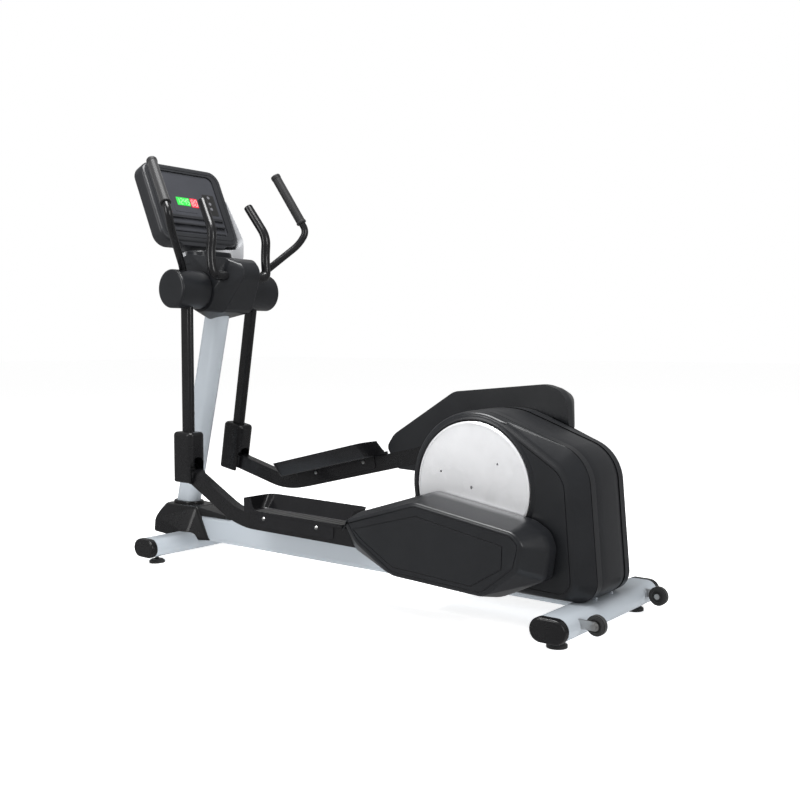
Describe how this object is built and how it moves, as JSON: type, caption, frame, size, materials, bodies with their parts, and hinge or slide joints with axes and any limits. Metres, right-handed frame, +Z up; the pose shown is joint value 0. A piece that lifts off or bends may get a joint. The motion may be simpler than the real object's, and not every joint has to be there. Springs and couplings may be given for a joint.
{
  "type": "elliptical trainer",
  "caption": "Rear-drive elliptical trainer: swing arms with handles, pedal arms on crank discs, housed flywheel, mast with console, levelling feet and transport wheels.",
  "frame": {"origin": "floor level below the middle of the object: centre of its box in X and Y, lowest point in Z", "axes": "+X from the console end towards the drive end, +Y to the right hand of the user, who faces -X, +Z up"},
  "size_m": [2.226, 0.7412, 1.66],
  "materials": {
    "silver_paint": "satin",
    "black_paint": "gloss",
    "cap_plastic": "satin",
    "housing_plastic": "satin",
    "spine_plastic": "satin",
    "pedal_plastic": "gloss",
    "disc_silver": "satin",
    "neck_silver": "satin",
    "console_plastic": "satin",
    "panel_plastic": "satin",
    "key_plastic": "satin",
    "grip_rubber": "matt foam rubber",
    "foot_rubber": "matt",
    "wheel_rubber": "matt",
    "steel": "plain",
    "cast_iron": "machined",
    "pulley_aluminium": "machined",
    "belt_rubber": "matt",
    "board": "circuit board",
    "inlet_plastic": "plain"
  },
  "bodies": {
    "frame": {"main_beam": "silver_paint", "front_stabilizer": "silver_paint", "rear_stabilizer": "silver_paint", "stabilizer_caps": "cap_plastic", "mast": "silver_paint", "base_cover": "cap_plastic", "wheel_brackets": "steel", "wheel_axles": "steel", "housing_left": "housing_plastic", "housing_right": "housing_plastic", "housing_spine": "spine_plastic", "drive_tower": "black_paint", "crank_bearings": "steel", "flywheel_axle": "steel", "drive_belt": "belt_rubber", "belt_tensioner": "belt_rubber", "brake_magnets": "pulley_aluminium", "control_board": "board", "power_inlet": "inlet_plastic", "pivot_axle": "steel", "pivot_shroud": "housing_plastic", "handlebar_left": "grip_rubber", "handlebar_right": "grip_rubber", "console_neck": "neck_silver", "console_housing": "console_plastic", "console_panel": "panel_plastic"},
    "crank": {"crank_shaft": "steel", "crank_disc_left": "disc_silver", "crank_disc_right": "disc_silver", "crank_pulley": "pulley_aluminium"},
    "flywheel_rotor": {"flywheel": "cast_iron"},
    "left_swing_arm": {"swing_arm_left": "black_paint", "pivot_cover_left": "housing_plastic", "handle_left": "black_paint", "grip_left": "grip_rubber", "joint_cover_left": "cap_plastic"},
    "left_pedal_arm": {"pedal_arm_left": "black_paint", "arm_cover_left": "housing_plastic", "pedal_left": "pedal_plastic", "crank_pin_left": "steel", "joint_pin_left": "steel"},
    "left_wheel": {"transport_wheel_left": "wheel_rubber"},
    "front_left_foot": {"foot_front_left": "foot_rubber"},
    "rear_left_foot": {"foot_rear_left": "foot_rubber"},
    "right_swing_arm": {"swing_arm_right": "black_paint", "pivot_cover_right": "housing_plastic", "handle_right": "black_paint", "grip_right": "grip_rubber", "joint_cover_right": "cap_plastic"},
    "right_pedal_arm": {"pedal_arm_right": "black_paint", "arm_cover_right": "housing_plastic", "pedal_right": "pedal_plastic", "crank_pin_right": "steel", "joint_pin_right": "steel"},
    "right_wheel": {"transport_wheel_right": "wheel_rubber"},
    "front_right_foot": {"foot_front_right": "foot_rubber"},
    "rear_right_foot": {"foot_rear_right": "foot_rubber"},
    "start_button": {"key_start": "key_plastic"},
    "up_button": {"key_up": "key_plastic"},
    "down_button": {"key_down": "key_plastic"}
  },
  "joints": [
    {"name": "left_swing", "type": "hinge", "parent": "frame", "child": "left_swing_arm", "pos_m": [-0.775, -0.182, 1.116], "axis": [0, 1, 0], "range_deg": [-9.6, 19.2]},
    {"name": "left_pedal_hinge", "type": "hinge", "parent": "left_swing_arm", "child": "left_pedal_arm", "pos_m": [-0.77506, -0.182, 0.381], "axis": [0, 1, 0], "range_deg": [-19.2, 9.6]},
    {"name": "left_wheel_spin", "type": "hinge", "parent": "frame", "child": "left_wheel", "pos_m": [1.085, -0.218, 0.073], "axis": [0, 1, 0], "continuous": true},
    {"name": "front_left_foot_screw", "type": "slide", "parent": "frame", "child": "front_left_foot", "axis": [0, 0, -1], "range_m": [0, 0.012]},
    {"name": "rear_left_foot_screw", "type": "slide", "parent": "frame", "child": "rear_left_foot", "axis": [0, 0, -1], "range_m": [0, 0.012]},
    {"name": "right_swing", "type": "hinge", "parent": "frame", "child": "right_swing_arm", "pos_m": [-0.775, 0.182, 1.116], "axis": [0, 1, 0], "range_deg": [-19.2, 9.6]},
    {"name": "right_pedal_hinge", "type": "hinge", "parent": "right_swing_arm", "child": "right_pedal_arm", "pos_m": [-0.89756, 0.182, 0.39129], "axis": [0, 1, 0], "range_deg": [-9.6, 19.2]},
    {"name": "right_wheel_spin", "type": "hinge", "parent": "frame", "child": "right_wheel", "pos_m": [1.085, 0.218, 0.073], "axis": [0, 1, 0], "continuous": true},
    {"name": "front_right_foot_screw", "type": "slide", "parent": "frame", "child": "front_right_foot", "axis": [0, 0, -1], "range_m": [0, 0.012]},
    {"name": "rear_right_foot_screw", "type": "slide", "parent": "frame", "child": "rear_right_foot", "axis": [0, 0, -1], "range_m": [0, 0.012]},
    {"name": "crank_turn", "type": "hinge", "parent": "frame", "child": "crank", "pos_m": [0.598, 0, 0.43], "axis": [0, 1, 0], "continuous": true},
    {"name": "flywheel_spin", "type": "hinge", "parent": "frame", "child": "flywheel_rotor", "pos_m": [0.862, 0.018, 0.335], "axis": [0, 1, 0], "continuous": true},
    {"name": "start_press", "type": "slide", "parent": "frame", "child": "start_button", "axis": [-0.9114, 0, -0.4115], "range_m": [0, 0.0012], "stiffness_N_per_m": 500},
    {"name": "up_press", "type": "slide", "parent": "frame", "child": "up_button", "axis": [-0.9114, 0, -0.4115], "range_m": [0, 0.0012], "stiffness_N_per_m": 500},
    {"name": "down_press", "type": "slide", "parent": "frame", "child": "down_button", "axis": [-0.9114, 0, -0.4115], "range_m": [0, 0.0012], "stiffness_N_per_m": 500}
  ],
  "couplings": [
    {"joint": "right_swing", "follows": "left_swing", "ratio": -1},
    {"joint": "left_pedal_hinge", "follows": "left_swing", "ratio": -1},
    {"joint": "right_pedal_hinge", "follows": "left_swing", "ratio": 1},
    {"joint": "flywheel_spin", "follows": "crank_turn", "ratio": 6}
  ]
}
